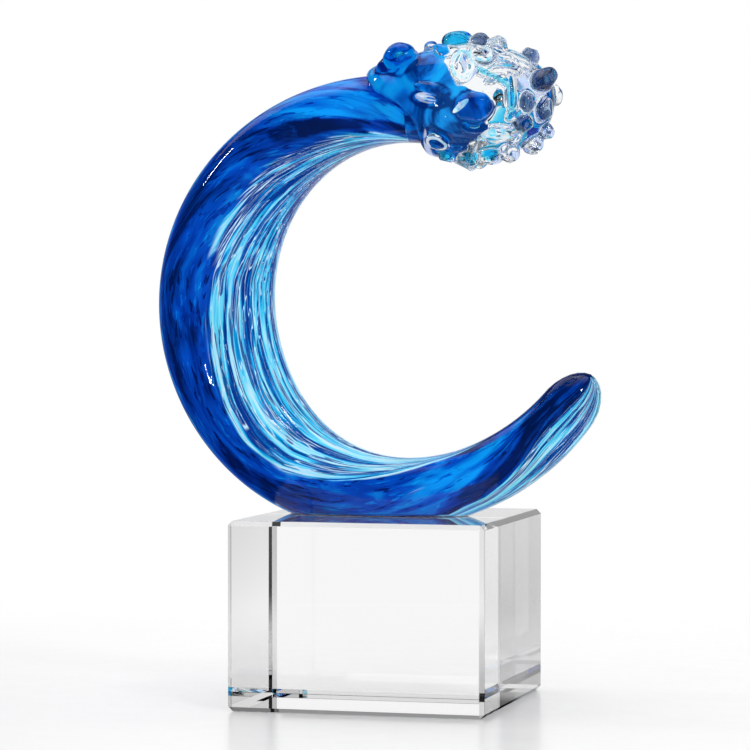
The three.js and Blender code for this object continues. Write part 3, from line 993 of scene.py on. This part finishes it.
def block_mesh():
    low, high = (Vector(corner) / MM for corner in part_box("base_block"))
    bm = bmesh.new()
    bmesh.ops.create_cube(bm, size=1)
    bmesh.ops.scale(bm, vec=high - low, verts=bm.verts)
    bmesh.ops.translate(bm, vec=(low + high) / 2, verts=bm.verts)
    for offset in (BLOCK_CHAMFER, BLOCK_EDGE):
        bmesh.ops.bevel(
            bm, geom=bm.edges[:], offset=offset, affect="EDGES", segments=1, profile=0.5, material=-1
        )
    return bm


def bond_mesh():
    low, high = BOND_LEVELS
    bm = swept(96, 120, CREST_END_ANGLE, TAIL_TIP_ANGLE, casing_place)
    grind_flat(bm, low, -1)
    grind_flat(bm, high, 1)
    return bm


# Materials


def clear_glass(name, tint, ior):
    """Clear glass with faint smears on its polish."""
    finish = Finish(bpy.data.materials.new(name))
    sockets = {"Base Color": tint, "Roughness": finish.cloud(60) * 0.02, "IOR": ior, "Transmission Weight": 1}
    return finish.shown(finish.node("ShaderNodeBsdfPrincipled", {}, sockets))


def inner_glass(finish, colour, transmission, glow=0, lit=None):
    """Coloured glass inside other glass, which takes no part in bending the light. It can have a painted
    glow, in its own colour or a lit one, that stands in for light coming through the glass from behind."""
    sockets = {
        "Base Color": colour,
        "Roughness": 0,
        "IOR": 1,
        "Transmission Weight": transmission,
        "Emission Color": lit or colour,
        "Emission Strength": glow,
    }
    return finish.node("ShaderNodeBsdfPrincipled", {}, sockets)


def depth_colour(finish, colour, density):
    return finish.node("ShaderNodeVolumeAbsorption", {}, {"Color": colour, "Density": density})


def core_blue(name):
    """The wave's blue: cloudy deep blue with painted light and shade in its tones, drawn streaks of cyan and
    white where the flutes are, and a painted glow.
    """
    finish = Finish(bpy.data.materials.new(name))
    drawn = finish.node("ShaderNodeAttribute", {"attribute_name": "drawn"}, output="Vector")
    streaked, bright, pale = finish.tone()
    fine = finish.drawn_noise(drawn, (8, 8, 1.5), 3, 0.7)

    broad = finish.drawn_noise(drawn, (4, 4, 2.2), 4, 1.6)
    flecks = finish.drawn_noise(drawn, (30, 30, 10), 2, 0.6)
    dashes = finish.drawn_noise(drawn, (24, 24, 8), 2, 0.6)
    specks = finish.smooth_step(flecks, 0.62, 0.66) * 0.16 - finish.smooth_step(dashes, 0.6, 0.63) * 0.22
    # The blue's level, with the painted light and shade kept in its tones
    level = broad + bright * 0.22 + specks + (fine - 0.5) * 0.24
    deep = finish.colours(level, [(0.26, NAVY), (0.4, DEEP_BLUE), (0.56, ROYAL_BLUE), (0.8, AZURE)])
    # The colour of the painted glow, which only the lighter blue has
    lit = finish.colours(level, [(0.56, UNLIT), (0.84, AZURE)])

    streak_colours = [
        (0.42, GAP_BLUE),
        (0.46, DEEP_STREAK),
        (0.49, BLUE_STREAK),
        (0.53, CYAN_STREAK),
        (0.61, PALE_STREAK),
        (0.72, STRAND),
    ]
    lines = finish.colours(fine + pale, streak_colours)
    gaps = finish.drawn_noise(drawn, (11, 11, 1.6), 2, 1.1)
    gapped = finish.tinted(finish.smooth_step(gaps, 0.57, 0.61) * 0.9, lines, GAP_BLUE)
    wander = finish.drawn_noise(drawn, (9, 9, 1.3), 1, 1.5)
    threads = finish.drawn_noise(drawn, (15, 15, 1.6), 1, 1.4)
    strands = finish.ridge(wander, 0.032) + finish.ridge(threads, 0.012) * 0.6
    drawn_lines = finish.tinted(strands, gapped, STRAND)

    plain = inner_glass(finish, deep, transmission=0.3, glow=0.3, lit=lit)
    drawn_out = inner_glass(finish, drawn_lines, transmission=0.3, glow=0.45)
    band = finish.smooth_step(streaked + (fine - 0.5) * 1.6, 0.35, 0.65)
    surface = finish.node("ShaderNodeMixShader", {}, {0: band, 1: plain, 2: drawn_out})
    return finish.shown(surface, depth_colour(finish, PASSED_BLUE, 90))


def crest_blue(name):
    """The crest's swirled blue with its painted light and shade, and a painted white lining towards the clear
    foam that glows as if lit from behind.
    """
    finish = Finish(bpy.data.materials.new(name))
    painted_lining, bright, _ = finish.tone()
    level = finish.cloud(60, 1.5) * 1.6 - 0.3 + bright * 0.2
    stops = [(0.26, CREST_NAVY), (0.4, CREST_DEEP), (0.52, CREST_BRIGHT), (0.68, AZURE)]
    swirled = inner_glass(finish, finish.colours(level, stops), transmission=0.2, glow=0.18)
    white = inner_glass(finish, WHITE, transmission=0.5, glow=0.35)
    surface = finish.node("ShaderNodeMixShader", {}, {0: painted_lining, 1: swirled, 2: white})
    return finish.shown(surface, depth_colour(finish, PASSED_BLUE, 60))


def foam_blue(name):
    finish = Finish(bpy.data.materials.new(name))
    colour = finish.colours(finish.cloud(180, 2), [(0.4, CYAN), (0.6, WHITE)])
    return finish.shown(inner_glass(finish, colour, transmission=1), depth_colour(finish, PASSED_BLUE, 400))


# Painted shade: grey glass for the darker clear drops
def foam_painted_shade(name):
    finish = Finish(bpy.data.materials.new(name))
    colour = finish.colours(finish.cloud(150, 1), [(0.4, PAINTED_SHADE_GREY), (0.6, WHITE)])
    return finish.shown(inner_glass(finish, colour, transmission=1), depth_colour(finish, PAINTED_SHADE_GREY, 300))


# Painted highlights: white glass with a painted glow for the threads in the foam
def foam_painted_highlights(name):
    finish = Finish(bpy.data.materials.new(name))
    colour = finish.colours(finish.cloud(240, 1), [(0.35, CYAN), (0.55, WHITE)])
    return finish.shown(inner_glass(finish, colour, transmission=0.5, glow=0.15))


# Studio


def share_along(finish, direction, axis):
    """How far a direction goes along an axis."""
    return finish.node("ShaderNodeVectorMath", {"operation": "DOT_PRODUCT"}, {0: direction, 1: axis}, "Value")


def ray_kinds(finish):
    """Whether a ray comes from the camera, is sharply bent or reflected, and is reflected."""
    camera_ray = finish.node("ShaderNodeLightPath", output="Is Camera Ray")
    glossy_ray = camera_ray.beside("Is Glossy Ray")
    passed_ray = camera_ray.beside("Is Transmission Ray")
    scattered = finish.maths("MINIMUM", camera_ray.beside("Diffuse Depth"), 1)
    sharp = finish.maths("MAXIMUM", glossy_ray, passed_ray) * (1 - scattered)
    return camera_ray, sharp, glossy_ray * (1 - passed_ray)


def left_flag(finish, direction, reflected):
    """A dark flag at the left of the award, which only shows in reflections."""
    left = 1 - finish.smooth_step(share_along(finish, direction, ACROSS), -0.3, -0.05)
    behind = finish.smooth_step(share_along(finish, direction, AWAY), -0.5, -0.1)
    below = 1 - finish.smooth_step(share_along(finish, direction, UP), 0.8, 0.92)
    return reflected * left * behind * below


def backlight(finish, direction, reflected):
    """How bright the studio is in a direction: a white screen behind the award, grey round it, dark flags at
    both sides, a dark ceiling and a dark room in front."""
    depth = share_along(finish, direction, AWAY)
    height = share_along(finish, direction, UP)
    zenith = finish.smooth_step(height, 0.8, 0.92)
    screen = finish.smooth_step(depth, 0.8, 0.95) + zenith
    flag_end = 0.3 + 0.25 * reflected
    past_flags = finish.smooth_step(depth, flag_end, flag_end + 0.35)
    flags = finish.smooth_step(depth, -0.85, -0.55) * (1 - past_flags)
    ceiling = finish.smooth_step(height, 0.25, 0.5) * (1 - zenith)
    above = finish.smooth_step(height, 0, 0.15)
    front = (1 - finish.smooth_step(depth, -0.5, 0.2)) * finish.maths("MAXIMUM", reflected, above * 0.8)
    grey = 0.6 + 0.4 * screen - 0.54 * flags * (1 - zenith)
    seen = grey * (1 - 0.7 * ceiling) * (1 - 0.93 * front)
    return seen * (1 - 0.9 * left_flag(finish, direction, reflected))


def studio_light(finish, direction):
    """White for the camera, the backlit studio for clear reflections and bent rays, and plain soft light for
    the rest."""
    camera_ray, sharp, reflected = ray_kinds(finish)
    seen = sharp * backlight(finish, direction, reflected) + (1 - sharp)
    return camera_ray + (1 - camera_ray) * seen


def studio_world():
    world = bpy.data.worlds.new("studio")
    bpy.context.scene.world = world
    finish = Finish(world)
    direction = finish.node("ShaderNodeTexCoord", output="Generated")
    sky = finish.node("ShaderNodeBackground", {}, {"Color": studio_light(finish, direction)})
    finish.node("ShaderNodeOutputWorld", {}, {"Surface": sky})


def white_table(name):
    """A white table near the award, and paper as bright as the studio far from it. Reflections to the left
    and to the front see the paper too, so that the table puts no sheen on the glass."""
    finish = Finish(bpy.data.materials.new(name))
    place = finish.place()
    roughness = 0.18 + 0.1 * finish.cloud(30)
    sockets = {"Base Color": TABLE_WHITE, "Roughness": roughness, "Specular IOR Level": 0.4}
    table = finish.node("ShaderNodeBsdfPrincipled", {}, sockets)
    outward = finish.node("ShaderNodeVectorMath", {"operation": "NORMALIZE"}, {0: place})
    paper = finish.node("ShaderNodeEmission", {}, {"Color": studio_light(finish, outward)})
    distance = finish.node("ShaderNodeVectorMath", {"operation": "LENGTH"}, {0: place}, "Value")
    far = finish.smooth_step(distance, PAPER_FROM, PAPER_FULL)
    _, _, reflected = ray_kinds(finish)
    in_front = 1 - finish.smooth_step(share_along(finish, outward, AWAY), -0.2, 0.3)
    flags = finish.maths("MAXIMUM", in_front * reflected, left_flag(finish, outward, reflected))
    share = finish.maths("MAXIMUM", far, flags)
    return finish.shown(finish.node("ShaderNodeMixShader", {}, {0: share, 1: table, 2: paper}))


def studio_floor():
    bm = bmesh.new()
    bmesh.ops.create_grid(bm, x_segments=1, y_segments=1, size=TABLE_HALF)
    bmesh.ops.translate(bm, vec=(0, 0, -TABLE_DROP), verts=bm.verts)
    bmesh.ops.scale(bm, vec=(MM, MM, MM), verts=bm.verts)
    floor = mesh_object("floor", bm)
    floor.data.materials.append(white_table("white_table"))


def lamp(name, place, aim, size, power):
    data = bpy.data.lights.new(name, "AREA")
    data.shape = "RECTANGLE"
    data.size, data.size_y = size
    data.energy = power
    holder = bpy.data.objects.new(name, data)
    holder.location = place
    holder.rotation_euler = (Vector(aim) - Vector(place)).to_track_quat("-Z", "Y").to_euler()
    bpy.context.collection.objects.link(holder)


def photo_camera():
    data = bpy.data.cameras.new("camera")
    data.sensor_width = CAMERA_SENSOR
    data.lens = CAMERA_LENS
    camera = bpy.data.objects.new("camera", data)
    camera.location = CAMERA_PLACE * MM
    camera.rotation_euler = (pi / 2 - CAMERA_DIP, 0, CAMERA_TURN)
    bpy.context.collection.objects.link(camera)
    bpy.context.scene.camera = camera


# The award in its studio

drop_nodes = [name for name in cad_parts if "foam_drop" in name]
clear_nodes = ["wave_casing", "crest_gather", *drop_nodes]

crystal = clear_glass("crystal", WHITE, CRYSTAL_IOR)
bond = clear_glass("cured_adhesive", BOND_TINT, GLASS_IOR)
casing_glass = clear_glass("casing_glass", CASING_TINT, GLASS_IOR)
core_glass = core_blue("blue_glass")
crest_glass = crest_blue("crest_blue_glass")
blue_foam = foam_blue("foam_blue_glass")
painted_shade_foam = foam_painted_shade("foam_painted_shade_glass")
painted_highlight_glass = foam_painted_highlights("foam_painted_highlights_glass")

finish_piece("crystal_block", block_mesh(), crystal, ["base_block"], smooth=False)
finish_piece("adhesive_film", bond_mesh(), bond, ["bond_film"], smooth=False)
finish_piece("wave_and_foam_glass", wave_and_foam(), casing_glass, clear_nodes)
finish_piece("blue_core", wave_core(), core_glass, ["wave_blue_core"])
finish_piece("crest_blue", crest_skin(), crest_glass, ["crest_blue_skin"])
finish_piece("foam_blue", foam_colour(), blue_foam, [])
finish_piece("foam_painted_shade", painted_shade_drops(), painted_shade_foam, [])
finish_piece("foam_painted_highlights", painted_highlight_threads(), painted_highlight_glass, [])

photo_camera()
studio_floor()
studio_world()
for lamp_values in LAMPS:
    lamp(*lamp_values)
scene = bpy.context.scene
scene.view_settings.view_transform = "Standard"
scene.cycles.max_bounces = LIGHT_BOUNCES
scene.cycles.transmission_bounces = LIGHT_BOUNCES
